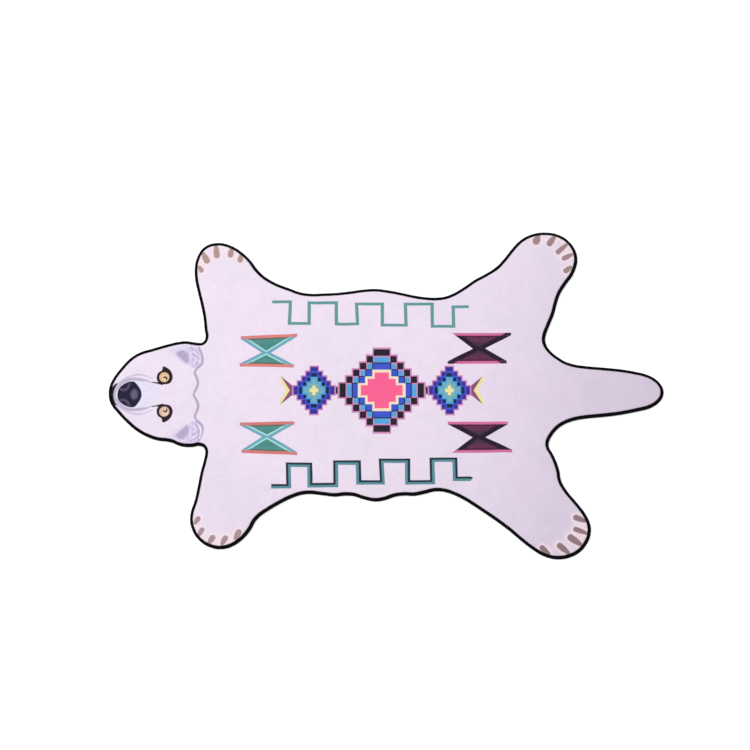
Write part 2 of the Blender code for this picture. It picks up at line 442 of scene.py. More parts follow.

# Claws, five on each paw: the thick end's x and y, the end at the tape's x and y, and the width
# Each paw's claws take their own ink, which holds painted shade: darker towards the tail and on the near side
claws = {
    "headFar": ((-505, 332, -517, 351, 13.5), (-490, 358, -507, 389, 17.0), (-466, 372, -471, 411, 16.8),
                (-431, 374, -426, 404, 15.8), (-403, 360, -401, 383, 14.8)),
    "headNear": ((-494, -335, -508, -356, 13.5), (-483, -364, -498, -389, 13.0),
                 (-454, -384, -470, -408, 15.5), (-421, -385, -435, -410, 15.0),
                 (-386, -369, -400, -396, 16.0)),
    "tailFar": ((412, 412, 425, 440, 20.5), (448, 408, 470, 438, 17.0), (471, 386, 503, 414, 14.3),
                (486, 369, 517, 385, 13.8), (490, 332, 513, 350, 14.8)),
    "tailNear": ((494, -335, 528, -348, 15.5), (493, -366, 531, -380, 13.5), (478, -385, 514, -410, 18.0),
                 (450, -406, 482, -433, 16.5), (404, -412, 430, -435, 14.5)),
}
clawLook = {
    "soft": 1.2, "middle": 0.98, "tip": 0.66,   # how wide the middle and the tape end are, as shares
    "glow": 6.5, "glowSoft": 6.0, "glowStrength": 0.55,
}


def printClaws(paw, look):
    lines = []
    for x, y, tipX, tipY, width in claws[paw]:
        root, tip = np.array([(x, y), (tipX, tipY)], float)
        ahead = (tip - root) / np.linalg.norm(tip - root)
        line = [root + ahead * width / 2, (root + tip) / 2, tip - ahead * width * look["tip"] / 2]
        lines.append((line, width))
        stroke("clawGlow", line, width + 2 * look["glow"], look["glowSoft"], look["glowStrength"])
    for line, width in lines:
        stroke(paw + "Claw", line, (width, width * look["middle"], width * look["tip"]), look["soft"])


for paw in claws:
    printClaws(paw, clawLook)

# The face: the far half of every mark, with y counted from its middle line.
# The near half leans back a little.
face = {
    "axis": -8,
    "leanOut": (0, 40, 70, 95), "lean": (0, 3.1, 3.6, 5.4), "leanBehind": (-725, -690),
    "muzzle": [(-738, 0), (-734, 22), (-716, 40), (-690, 46), (-655, 40), (-626, 26), (-612, 0)],
    "muzzleHair": [[(-655, 8), (-640, 10), (-622, 9)], [(-654, 19), (-640, 20), (-626, 18)],
                   [(-657, 28), (-645, 26), (-632, 24)]],
    "nose": [(-725.5, 0), (-722, 15.5), (-710.5, 27.3), (-693.5, 35), (-682.8, 35), (-670.8, 24), (-663, 12),
             (-660, 0)],
    "nostril": [(-717, 14), (-709, 12), (-701, 15), (-696, 22), (-693.5, 29)],
    "nostrilNear": [(-717, 17), (-711, 15), (-703, 18), (-697, 24), (-694, 29)],
    "slit": [(-715, 19), (-707, 20), (-702, 24)],
    "noseGloss": [(-704, 30), (-694, 30), (-686, 27)],
    "mouth": [(-724, 31), (-730, 23), (-735, 10), (-736, 0), (-748, 0), (-744, 17), (-739, 22), (-732, 29)],
    "eye": (-600.5, 47), "irisWidth": 27.0, "irisEdge": 0.8, "irisBlur": 2.4,
    "shade": (-609, 49), "shadeSize": (14, 7), "shadeStrength": 0.3,
    "glowBy": (2.5, -2.5), "glowShare": 0.6, "glowStrength": 0.7,
    "noseGlow": (-680, 28, 19), "noseGlowBlur": 3.6, "mouthBlur": 1.0,
    "ring": [(-605, 76), (-590, 70.5), (-580.5, 58.5), (-578, 44), (-584.5, 31), (-597, 27.3), (-612, 29.8),
             (-619.5, 38), (-621, 49), (-617, 59.3), (-607.5, 66)],
    "tear": [(-606, 29), (-618, 31), (-633, 33)],
    "pupil": [(-602.5, 44.5), (-600.5, 46.8), (-596.5, 47), (-593.5, 44), (-594.5, 40.5)],
    "cheekLine": [(-633, 32), (-650, 38), (-670, 41), (-689, 42), (-707, 36), (-723, 21), (-731, 8),
                  (-733, 0)],
    "outerLine": [(-631, 42), (-650, 50), (-672, 54), (-689, 51), (-708, 42), (-726, 27), (-735, 11),
                  (-738, 0)],
    "earHaze": [(-592, 118), (-575, 128), (-545, 134), (-520, 132), (-520, 96), (-545, 86), (-570, 100)],
    "ear": [(-566, 117), (-548, 129), (-525, 131), (-508, 126), (-500, 112), (-497, 95), (-499, 85),
            (-508, 76), (-521, 75), (-534, 80), (-548, 92), (-560, 103)],
    "earInner": [(-571, 113), (-565, 118), (-557, 120), (-548, 118), (-540, 113), (-535, 105), (-535, 95),
                 (-537, 87), (-541, 84), (-549, 90), (-557, 97), (-565, 104)],
    "earHairs": [[(-531, 129), (-525, 123)], [(-520, 123), (-517, 119)],
                 [(-512, 130), (-508, 124), (-506, 118)], [(-528, 112), (-521, 108), (-515, 105)],
                 [(-512, 103), (-510, 98)], [(-527, 97), (-521, 92)], [(-518, 79), (-513, 84), (-512, 90)],
                 [(-527, 78), (-521, 75)], [(-557, 118), (-549, 121)], [(-513, 117), (-511, 111)]],
    "earGlints": [[(-531, 95), (-532, 107), (-529, 116)], [(-525, 117), (-520, 116)],
                  [(-517, 113), (-514, 112)], [(-521, 88), (-518, 95)], [(-508, 88), (-506, 96)],
                  [(-553, 124), (-545, 126)]],
    "earArc": [(-512, 73), (-506, 77), (-500, 84), (-498, 92), (-500, 106), (-504, 119), (-509, 129)],
    "foldGlint": [(-513, 80), (-506, 88), (-503, 98), (-504, 110), (-507, 120)],
    "foldShade": [(-518, 81), (-511, 89), (-508, 100), (-508, 112), (-511, 122)],
    "nape": [(-520, 0), (-518, 6), (-512, 18), (-509, 31), (-513, 46), (-518, 60), (-514, 70)],
}


# What is drawn on each half: the part, its ink, its widths along the line or none where it is filled in,
# how soft its edge is, and how strong it is
earMarks = (
    ("earHaze", "earHaze", None, 9.0, 1.0),
    ("ear", "ear", None, 4.5, 0.78),
    ("earInner", "earInner", None, 3.0, 0.9),
    ("earHairs", "earHair", (2.0, 3.4, 2.2), 1.0, 0.85),
    ("earGlints", "earGlint", (2.0, 3.4, 2.2), 1.0, 0.85),
    ("earArc", "earLine", (7.5, 6.4, 5.6, 3.6), 1.2, 1.0),
)
nearEarMarks = (
    ("foldGlint", "earGlint", (2.0, 3.6, 3.0), 1.0, 1.0),
    ("foldShade", "earHair", (2.0, 3.6, 2.6), 1.0, 0.8),
)
headMarks = (
    ("nape", "nape", (5.0, 7.0, 6.6, 6.0), 1.2, 1.0),
    ("outerLine", "furLineLight", (2.0, 5.0, 4.6, 4.0), 1.4, 0.85),
    ("cheekLine", "furLine", (1.6, 8.0, 7.4, 5.0, 4.4), 1.6, 0.85),
    ("muzzleHair", "furLineLight", (2.0, 0.8), 0.9, 0.4),
)
noseMarks = (
    ("nostril", "nostril", (6.0, 7.4, 6.6, 4.6), 2.0, 1.0),
    ("slit", "nose", (4.0, 2.0), 1.0, 1.0),
    ("noseGloss", "nostril", (2.6, 1.2), 1.0, 0.5),
    ("ring", "eyeRing", None, 0.7, 1.0),
    ("tear", "eyeRing", (7.0, 4.4, 2.2), 0.7, 1.0),
)
pupilMarks = (("pupil", "pupil", (3.0, 4.2, 4.2, 3.2), 0.5, 1.0),)
wholeMarks = {"muzzle": (14.0, 0.8), "nose": (0.8, 1.0)}   # parts over both halves: softness and strength


def faceHalf(points, near):
    # places a drawn half on the rug
    if not near:
        return [(x, face["axis"] + y) for x, y in points]
    xs, ys = np.transpose(points)
    lean = np.interp(ys, face["leanOut"], face["lean"]) * np.interp(xs, face["leanBehind"], (0.0, 1.0))
    return [(x + more, face["axis"] - y) for (x, y), more in zip(points, lean)]


def fillWhole(name):
    inner = [point for point in face[name] if point[1] > 0]
    whole = faceHalf(face[name], False) + faceHalf(inner[::-1], True)
    patch(name, smoothThrough(whole, closed=True), *wholeMarks[name])


def drawHalf(rows, near):
    for name, ink, widths, soft, strength in rows:
        lines = face.get(name + "Near" * near, face[name])
        for line in lines if isinstance(lines[0], list) else [lines]:
            points = smoothThrough(faceHalf(line, near), closed=not widths)
            if widths:
                stroke(ink, points, widths, soft, strength)
            else:
                patch(ink, points, soft, strength)


def printIris(near):
    eye, shade = np.array(faceHalf([face["eye"], face["shade"]], near))
    width, blur = face["irisWidth"], face["irisBlur"]
    glow = width * face["glowShare"]
    patch("amberLow" if near else "amber", oval(eye, width, width), face["irisEdge"])
    patch("amberShade", oval(shade, *face["shadeSize"]), blur, face["shadeStrength"])
    patch("amberGlow", oval(eye + face["glowBy"], glow, glow), blur, face["glowStrength"])


def printFace():
    fillWhole("muzzle")
    for near in (False, True):
        drawHalf(earMarks + nearEarMarks * near + headMarks, near)
    fillWhole("nose")
    x, across, along = face["noseGlow"]
    patch("noseGlow", oval((x, face["axis"]), across, along), face["noseGlowBlur"])
    for near in (False, True):
        patch("mouth", faceHalf(face["mouth"], near), face["mouthBlur"])
        drawHalf(noseMarks, near)
        printIris(near)
        drawHalf(pupilMarks, near)


printFace()
print(f"print: {len(marks)} marks")


def runsOf(mark):
    # the straight runs of a mark's line, each as its two ends and half its width there
    ends = [mark["points"], mark["widths"] / 2]
    if mark["closed"]:
        ends = [np.concatenate([values, values[:1]]) for values in ends]
    points, halves = ends
    return zip(points[:-1], points[1:], halves[:-1], halves[1:])


def markBorders(mark):
    # points on both sides of every border of a mark, so that the cloth's mesh can hold a crisp print
    points, soft = mark["points"], mark["soft"]
    if soft > printing["crisp"]:
        return np.empty((0, 2))
    found = []
    if mark["closed"]:
        gaps = onward(points) - points
        ahead = gaps / np.maximum(np.linalg.norm(gaps, axis=1), printing["shortest"])[:, None]
        corner = np.column_stack([-ahead[:, 1], ahead[:, 0]])
        corner = (corner + np.roll(corner, 1, axis=0)) * soft
        found = [points + corner * printing["cornerReach"], points - corner * printing["cornerReach"]]
    else:
        for i in (0, -1):
            for radius in (mark["widths"][i] / 2 - soft, mark["widths"][i] / 2 + soft):
                if radius > 0:
                    found.append(oval(points[i], radius * 2, radius * 2, count=printing["capPoints"]))
    for a, b, half, nextHalf in runsOf(mark):
        length = np.linalg.norm(b - a)
        if length < printing["shortest"]:
            continue
        count = max(1, math.ceil(length / printing["pointSpacing"]))
        shares = (np.arange(count) + 0.5) / count
        side = np.array([-(b - a)[1], (b - a)[0]]) / length
        reach = half + (nextHalf - half) * shares
        reaches = [reach + soft, reach - soft, -reach - soft, soft - reach, reach * 0]
        found += [[a + side * half], [a - side * half]]
        found += [a + (b - a) * shares[:, None] + side * reach[:, None]
                  for reach in (reaches[:2] if mark["closed"] else reaches)]
    return np.vstack(found)


def reachInside(mark, spots):
    # signed distance into a mark, for spots near it
    best = np.full(len(spots), -np.inf)
    inside = np.zeros(len(spots), bool)
    for a, b, half, nextHalf in runsOf(mark):
        along = b - a
        share = np.clip((spots - a) @ along / max(along @ along, printing["tiny"]), 0.0, 1.0)
        away = np.linalg.norm(spots - a - share[:, None] * along, axis=1)
        best = np.maximum(best, half + (nextHalf - half) * share - away)
        if mark["closed"] and a[1] != b[1]:
            crosses = (a[1] > spots[:, 1]) != (b[1] > spots[:, 1])
            inside ^= crosses & (spots[:, 0] < a[0] + (spots[:, 1] - a[1]) * along[0] / along[1])
    return np.where(inside, -best, best)


# The ground's tone, with painted light and shade: lighter at the head and on the far side, darker towards the
# tail and on the near side
ground = {
    "head": (241, 228, 244),
    "middle": (238, 225, 241),
    "tail": (212, 199, 217),
    "headFrom": -600, "headOver": 500,             # x where the head's painted light ends, and over what length
    "tailShadeAt": (-40, 160, 320, 400, 550, 700),      # how far the painted shade towards the tail end has come, at these x
    "tailShade": (0.0, 0.13, 0.37, 0.49, 0.83, 1.0),
    "paintedShadingAcrossAt": (-400, -200, 0, 250),              # painted light and shade across the rug: how much lighter the head end is, at these y
    "across": (-0.065, -0.028, 0.0, 0.021), "paintedShadingAcrossEnds": (-50, 200),
    # the uneven take-up of dye: size, strength and tint of each layer of clouds
    "clouds": ((62.0, 0.016, (1.0, 0.7, 1.0)), (24.0, 0.014, (1.0, 1.1, 0.8)),
               (120.0, 0.010, (1.0, 0.2, 0.4)), (9.5, 0.022, (1.0, 1.0, 1.0))),
    "lean": 0.35, "leanOver": 300,   # how much further the painted shade has come on the near side
}


def groundColour(spots):
    # the ground's tone, with its painted light at the head and painted shade towards the tail and the near side
    headLightShare = np.clip((spots[:, 0] - ground["headFrom"]) / ground["headOver"], 0, 1)[:, None]
    along = spots[:, 0] - spots[:, 1] * ground["lean"] * np.clip(spots[:, 0] / ground["leanOver"] + 0.5, 0, 1)
    tailShadeShare = np.interp(along, ground["tailShadeAt"], ground["tailShade"])[:, None]
    colour = between(dye(ground["head"]), dye(ground["middle"]), headLightShare)
    across = np.interp(spots[:, 1], ground["paintedShadingAcrossAt"], ground["across"])
    across *= np.interp(spots[:, 0], ground["paintedShadingAcrossEnds"], (1.0, 0.0))
    return between(colour, dye(ground["tail"]), tailShadeShare) * (1 + across[:, None])


def paint(spots):
    # the print's linear colour at each spot
    colour = groundColour(spots)
    for mark in marks:
        margin = mark["soft"] + mark["widths"].max() / 2
        low, high = mark["points"].min(axis=0) - margin, mark["points"].max(axis=0) + margin
        near = np.flatnonzero(np.all((spots > low) & (spots < high), axis=1))
        if len(near) == 0:
            continue
        cover = np.clip(0.5 + reachInside(mark, spots[near]) / (2 * mark["soft"]), 0, 1)
        cover = (cover if mark["soft"] <= 1 else eased(cover)) * mark["strength"]
        colour[near] = between(colour[near], dye(inks[mark["ink"]]), cover[:, None])
    for layer, (size, strength, tint) in enumerate(ground["clouds"]):
        cloud = softNoise(spots, size, seeds["clouds"] + layer)[:, None]
        colour = colour * (1.0 + cloud * strength * np.array(tint))
    return colour


# The cloth: pile on top, a plain back, and a thin tongue that fills the tape's fold
cloth = {
    "tongueEdge": 1.3, "tongueTop": 6.0, "tongueBottom": 1.6,
    "rollStart": 8.2, "rollWidth": 4.0,
    "rings": (8.2, 8.7, 9.4, 10.4, 12.0, 14.0),
    "printFrom": 9.0, "printClear": 0.6,   # print borders come this close to the tape and to the rings
    "ringSpacing": 2.6,
    "blankClear": 2.5, "backClear": 8.0,   # blank points start so far inside the last ring
    "backSpacing": 20.0, "backRings": (8.3, 9.2), "backFlatFrom": 8.7, "backMap": (0.66, 0.603),
    # soft unevenness of the pile, which starts beside the rim
    "ripple": 0.22, "rippleSize": 17.0, "fineRipple": 0.6, "fineSize": 0.45,
    "swell": 0.35, "swellSize": 90.0, "unevenOver": 12.0,
}


def pileHeight(spots):
    depth = depthInside(spots)
    share = np.clip((depth - cloth["rollStart"]) / cloth["rollWidth"], 0, 1)
    roll = np.sqrt(1 - (1 - share) ** 2)
    height = cloth["tongueTop"] + (pileHigh - cloth["tongueTop"]) * roll
    inner = np.clip((depth - cloth["rollStart"]) / cloth["unevenOver"], 0, 1)
    fine = softNoise(spots, cloth["rippleSize"] * cloth["fineSize"], seeds["fineRipple"])
    ripple = softNoise(spots, cloth["rippleSize"], seeds["ripple"]) + cloth["fineRipple"] * fine
    swell = softNoise(spots, cloth["swellSize"], seeds["swell"])
    return height + inner * (cloth["ripple"] * ripple + cloth["swell"] * swell)


def hexGrid(spacing, depth):
    # evenly spread spots that lie at least so deep inside the outer edge
    low, high = rimLine.min(axis=0), rimLine.max(axis=0)
    xs = np.arange(low[0], high[0], spacing)
    ys = np.arange(low[1], high[1], spacing * math.sqrt(3) / 2)
    grid = np.array([(x + (row % 2) * spacing / 2, y) for row, y in enumerate(ys) for x in xs])
    return grid[depthInside(grid) > depth]


def thinOut(spots, cell):
    # keeps the first of the spots that share a small square
    _, first = np.unique(np.round(spots / cell).astype(int), axis=0, return_index=True)
    return spots[np.sort(first)]


def awayFrom(spots, others, distance):
    tree = treeOf(others)
    return spots[np.array([tree.find((x, y, 0.0))[2] for x, y in spots]) > distance]


def turned(spots, faces, way):
    # flat triangles that all run the same way round
    a, b, c = (spots[faces[:, corner]] for corner in range(3))
    area = (b[:, 0] - a[:, 0]) * (c[:, 1] - a[:, 1]) - (b[:, 1] - a[:, 1]) * (c[:, 0] - a[:, 0])
    return np.where((area * way > 0)[:, None], faces, faces[:, ::-1])


def facingOut(vertices, faces):
    corners = vertices[faces]
    volume = np.sum(corners[:, 0] * np.cross(corners[:, 1], corners[:, 2]))
    return faces if volume > 0 else faces[:, ::-1]


def triangulated(ring, inner, mergeWithin=1e-7):
    # flat triangles over the spots inside a ring
    spots = np.vstack([ring, inner])
    loop = [(i, (i + 1) % len(ring)) for i in range(len(ring))]
    result = delaunay_2d_cdt([Vector(spot) for spot in spots], loop, [], 1, mergeWithin)
    back = np.array([sources[0] for sources in result[3]])
    return spots, turned(spots, back[np.array([face for face in result[2] if len(face) == 3])], 1)


def tubeFaces(levels, sides, cap):
    # triangles round a tube of rings, with a cap at both ends
    level, side = np.meshgrid(np.arange(levels - 1), np.arange(sides), indexing="ij")
    a, b = (level * sides + side).ravel(), (level * sides + (side + 1) % sides).ravel()
    return np.vstack([np.column_stack([a, b, b + sides]), np.column_stack([a, b + sides, a + sides]),
                      cap[:, ::-1], cap + (levels - 1) * sides])


def copiesOf(faces, count, corners):
    # the faces of one small shape, repeated for a row of them with so many corners each
    return (faces[None] + (np.arange(count) * corners)[:, None, None]).reshape(-1, 3)


def addObject(name, data):
    item = bpy.data.objects.new(name, data)
    bpy.context.scene.collection.objects.link(item)
    return item


def newMesh(name, vertices, faces, smooth=True):
    data = bpy.data.meshes.new(name)
    faces = np.asarray(faces)
    sides = faces.shape[1]
    data.vertices.add(len(vertices))
    data.vertices.foreach_set("co", np.asarray(vertices, np.float32).ravel())
    data.loops.add(faces.size)
    data.loops.foreach_set("vertex_index", faces.astype(np.int32).ravel())
    data.polygons.add(len(faces))
    data.polygons.foreach_set("loop_start", np.arange(len(faces), dtype=np.int32) * sides)
    data.update(calc_edges=True)
    data.validate()
    if smooth:
        data.shade_smooth()
    return addObject(name, data)


def giveColours(piece, colours):
    layer = piece.data.color_attributes.new("print", "FLOAT_COLOR", "POINT")
    full = np.column_stack([colours, np.ones(len(colours))])
    layer.data.foreach_set("color", full.astype(np.float32).ravel())


def giveNumbers(piece, name, values):
    piece.data.attributes.new(name, "FLOAT", "POINT").data.foreach_set("value", values.astype(np.float32))


def giveMap(piece, spots):
    # the map for baking
    layer = piece.data.uv_layers.new(name="OFBake")
    layer.data.foreach_set("uv", spots.astype(np.float32).ravel())


def fromAbove(spots):
    # the map seen from straight above, with the rug's length as 1
    return (spots[:, :2] - rimLine.min(axis=0)) / np.ptp(rimLine[:, 0])


def ringsAt(depths):
    # lines of points beside the outer edge, at these depths in from it
    return np.vstack([insetRing(depth, cloth["ringSpacing"]) for depth in depths])


def buildCloth():
    outer = insetRing(cloth["tongueEdge"], cloth["ringSpacing"], slack=False)
    rings = ringsAt(cloth["rings"])
    borderSpots = thinOut(np.vstack([markBorders(mark) for mark in marks]), printing["merge"])
    borderSpots = borderSpots[depthInside(borderSpots) > cloth["printFrom"]]
    borderSpots = awayFrom(borderSpots, rings, cloth["printClear"])
    blank = hexGrid(printing["blankSpacing"], cloth["rings"][-1] + cloth["blankClear"])
    blank = awayFrom(blank, borderSpots, printing["clear"])
    print(f"cloth: {len(rings)} rim, {len(borderSpots)} border and {len(blank)} blank points")
    top, topFaces = triangulated(outer, np.vstack([rings, borderSpots, blank]))
    topHeight = pileHeight(top)
    topHeight[:len(outer)] = cloth["tongueTop"]

    backBlank = hexGrid(cloth["backSpacing"], cloth["backRings"][-1] + cloth["backClear"])
    back, backFaces = triangulated(outer, np.vstack([ringsAt(cloth["backRings"]), backBlank]))
    backHeight = np.where(depthInside(back) > cloth["backFlatFrom"], 0.0, cloth["tongueBottom"])

    shift = len(top)
    ring = np.arange(len(outer))
    after = onward(ring)
    wall = np.vstack([np.column_stack([ring, ring + shift, after + shift]),
                      np.column_stack([ring, after + shift, after])])[:, ::turning(outer)]
    faces = np.vstack([topFaces, backFaces[:, ::-1] + shift, wall])
    vertices = np.column_stack([np.vstack([top, back]), np.concatenate([topHeight, backHeight])])
    piece = newMesh("pileCloth", vertices * mm, faces)
    giveColours(piece, np.vstack([paint(top), np.tile(dye(ground["middle"]), (len(back), 1))]))
    isBack = np.arange(len(faces)) >= len(topFaces)
    piece.data.polygons.foreach_set("material_index", isBack.astype(np.int32))
    # the back's map is smaller and lies beside the top's
    size, aside = cloth["backMap"]
    flat = fromAbove(vertices)[faces.ravel()]
    giveMap(piece, np.where(np.repeat(isBack, 3)[:, None], flat * size + (0.0, aside), flat))
    print(f"pileCloth: {len(faces)} triangles")
    return piece


pileCloth = buildCloth()


def alongRim(values, along):
    # values that are known at the rim's points, read at distances along it
    return np.column_stack([np.interp(along, rimAlong, column, period=rimLength) for column in values.T])


def onRim(along, reach):
    # places that lie reach in from the outer edge, at distances along it
    return alongRim(rimLine, along) + unit(alongRim(rimInward, along)) * np.reshape(reach, (-1, 1))


def slackAt(along):
    return tapeSlack(alongRim(rimInward, along))


# The tape, one strip folded over the cloth's edge. Its end laps over its start.
tape = {
    "width": 8.1, "thick": 1.0,
    "foldReach": 2.2,      # the round of the fold, as deep as this from the edge
    "step": 2.2,
    "stitchReach": 6.6,    # the sewing line
    "sewnDown": 0.22, "sewnWidth": 0.5,   # how far the thread pulls the tape in there, and how widely
    "crown": 0.25, "crownOver": 4.0, "foldCrown": 0.6,
    "pucker": 0.16, "puckerSize": 7.0, "puckerLeast": 0.35, "puckerStretch": 0.35,
    "finePucker": 0.7, "fineSize": 0.4,
    "wander": 0.4, "wanderSize": 60.0, "fray": 0.35, "fraySize": 9.0,
    "lapAt": 1480.0,       # where the join is, measured along the edge
    "lap": 13.0, "lapRise": 0.4, "lapRamp": 6.0,
    "hem": ((0.0, 0.45), (0.15, 0.12), (0.6, 0.0)),   # the rounded inner edge: back from it, and down
    "underHem": (0.15, 0.3), "loose": 1.0,            # its width, which wanders
    "topRows": (5.2, 4.2), "topUnder": 0.1, "foldFrom": 78, "foldRows": 11, "underRow": 4.6,
    "cornerHeight": 1.2, "cornerReach": 0.9,
    "mapRows": 10, "mapGap": 4.0,
}


def tapeOutside():
    # the outer side of the folded strip: reach in from the edge, and height
    middle, half = (tapeHigh + tapeLow) / 2, (tapeHigh - tapeLow) / 2
    hem = np.array(tape["hem"])
    flat = np.array([*(tape["width"] - hem[:, 0]), tape["stitchReach"], *tape["topRows"]])
    share = np.clip((tape["stitchReach"] - flat) / tape["crownOver"], 0, 1)
    lift = tape["crown"] * np.sin(share * math.pi / 2)
    dip = tape["sewnDown"] * np.exp(-((flat - tape["stitchReach"]) / tape["sewnWidth"]) ** 2)
    down = np.array([*hem[:, 1], 0.0, 0.0, 0.0])
    top = np.column_stack([flat, tapeHigh - tape["topUnder"] - down - dip + lift])
    angles = np.radians(np.linspace(tape["foldFrom"], -90, tape["foldRows"]))
    fold = np.column_stack([tape["foldReach"] * (1 - np.cos(angles)), middle + half * np.sin(angles)])
    fold[:, 1] += tape["crown"] * tape["foldCrown"] * np.clip(np.sin(angles), 0, 1)
    back, up = tape["underHem"]
    under = [(tape["underRow"], tapeLow), (tape["width"] - back, tapeLow), (tape["width"], tapeLow + up)]
    return np.vstack([top, fold, under])


def tapeInside():
    thick, width = tape["thick"], tape["width"]
    low, high = tapeLow + thick, tapeHigh - thick
    up, reach = tape["cornerHeight"], thick + tape["cornerReach"]
    lower = [(width, low), (reach, low), (thick, low + up)]
    return np.array(lower + [(thick, high - up), (reach, high), (width, high)])


def tapeLift(along, reach):
    # small puckers of the tape's upper side between the stitches, largest at its inner edge
    spots = np.column_stack([along, reach * tape["puckerStretch"]])
    fine = softNoise(spots, tape["puckerSize"] * tape["fineSize"], seeds["finePucker"])
    hills = softNoise(spots, tape["puckerSize"], seeds["pucker"]) + tape["finePucker"] * fine
    return tape["pucker"] * hills * between(tape["puckerLeast"], 1, np.clip(reach / tape["width"], 0, 1))


def buildTape():
    section = np.vstack([tapeOutside(), tapeInside()])
    sides, around = len(section), lengthsAlong(section)
    whole = rimLength + tape["lap"]
    count = int(whole / tape["step"])
    along = np.arange(count + 1) * whole / count
    rise = tape["lapRise"] * eased(np.clip((along - rimLength + tape["lapRamp"]) / tape["lapRamp"], 0, 1))
    spots = np.column_stack([along, along * 0])
    wander = sum(tape[way] * softNoise(spots, tape[way + "Size"], seeds[way]) for way in ("wander", "fray"))
    place = along + tape["lapAt"]
    slack = slackAt(place)
    columns = []
    for reach, height in section:
        reaches = reach - rise * (reach < tape["foldReach"]) + slack * np.clip(reach / tape["width"], 0, 1)
        reaches = reaches + wander * (reach > tape["width"] - tape["loose"])
        heights = height + (rise + tapeLift(along, reaches)) * (height > (tapeHigh + tapeLow) / 2)
        columns.append(np.column_stack([onRim(place, reaches), heights]))
    vertices = np.stack(columns, axis=1).reshape(-1, 3)

    caps = np.array(tessellate_polygon([[Vector((*spot, 0.0)) for spot in section]]))
    faces = facingOut(vertices, tubeFaces(count + 1, sides, turned(section, caps, turning(section))))
    piece = newMesh("edgeTape", vertices * mm, faces)
    strip, girth = np.repeat(along, sides), np.tile(around, count + 1)
    giveNumbers(piece, "along", strip)
    giveNumbers(piece, "across", girth)
    # the map: the strip cut into rows
    rowLength, rowHeight = whole / tape["mapRows"], around[-1] + tape["mapGap"]
    first = strip[faces].min(axis=1)
    row = np.repeat(np.minimum(np.floor(first / rowLength), tape["mapRows"] - 1), 3)
    flat = faces.ravel()
    spots = np.column_stack([strip[flat] - row * rowLength, girth[flat] + row * rowHeight])
    giveMap(piece, spots * (1.0 / (rowHeight * tape["mapRows"])))
    print(f"edgeTape: {len(faces)} triangles")
    return piece


edgeTape = buildTape()


# The thread that sews the tape down, above and below the cloth
stitches = {
    "pitch": 3.6, "length": 2.9, "thread": 0.42, "sides": 5,
    "lean": 0.25,          # how far a stitch may stray from the line
    "sink": 0.12,          # how deep the thread lies in the tape at a stitch's middle
    "rings": ((-0.5, 0.4, -0.32), (-0.3, 0.95, -0.04), (0.3, 0.95, -0.04), (0.5, 0.4, -0.32)),
    # each ring: place along the stitch, thickness, and height
}


def buildStitches():
    count = int(rimLength / stitches["pitch"])
    starts = np.arange(count) * rimLength / count
    chance = np.random.default_rng(seeds["stitches"])
    sides, thread = stitches["sides"], stitches["thread"]
    shapes = []
    for above in (True, False):
        stray = chance.uniform(-1, 1, (count, 2)) * stitches["lean"]
        surface = tapeHigh - tape["sewnDown"] if above else tapeLow
        rings = []
        for place, size, height in stitches["rings"]:
            along = starts + place * stitches["length"]
            reach = tape["stitchReach"] + slackAt(along) * tape["stitchReach"] / tape["width"]
            reach = reach + stray[:, 0] * (0.5 - place) + stray[:, 1] * (0.5 + place)
            middle, beside = onRim(along, reach), onRim(along, reach + 1.0)
            lift = surface + tapeLift(along, reach) * above
            lift = lift + (1 if above else -1) * (thread / 4 - stitches["sink"] + height)
            radius = thread / 2 * size
            for angle in np.arange(sides) * 2 * math.pi / sides:
                spot = middle + (beside - middle) * radius * math.cos(angle)
                rings.append(np.column_stack([spot, lift + radius * math.sin(angle)]))
        shapes.append(np.stack(rings, axis=1).reshape(-1, 3))
    vertices = np.vstack(shapes)
    levels, fan = len(stitches["rings"]), np.arange(1, sides - 1)
    one = tubeFaces(levels, sides, np.column_stack([fan * 0, fan, fan + 1]))
    faces = facingOut(vertices, copiesOf(one, 2 * count, sides * levels))
    piece = newMesh("tapeStitches", vertices * mm, faces)
    giveMap(piece, fromAbove(vertices[faces.ravel()]))
    print(f"tapeStitches: {2 * count} stitches, {len(faces)} triangles")
    return piece


tapeStitches = buildStitches()


# Pile fibres at the rim that lean over the tape's inner edge
rimFibres = {
    "perMillimetre": 4.5,
    "roots": (8.0, 9.3),              # where they stand, in from the edge
    "sunk": 0.5,                      # how deep in the pile they start
    "length": (0.8, 1.9), "lean": (0.4, 0.95), "drift": 0.35, "width": 0.32,
    "lockSize": 7.0, "lockShare": 0.5,   # neighbouring fibres lie together in locks about this long
    "outShare": 0.8, "upShare": 0.55, "steepest": 0.05,
    "overTape": (0.15, 0.35), "overPile": 0.3,
}


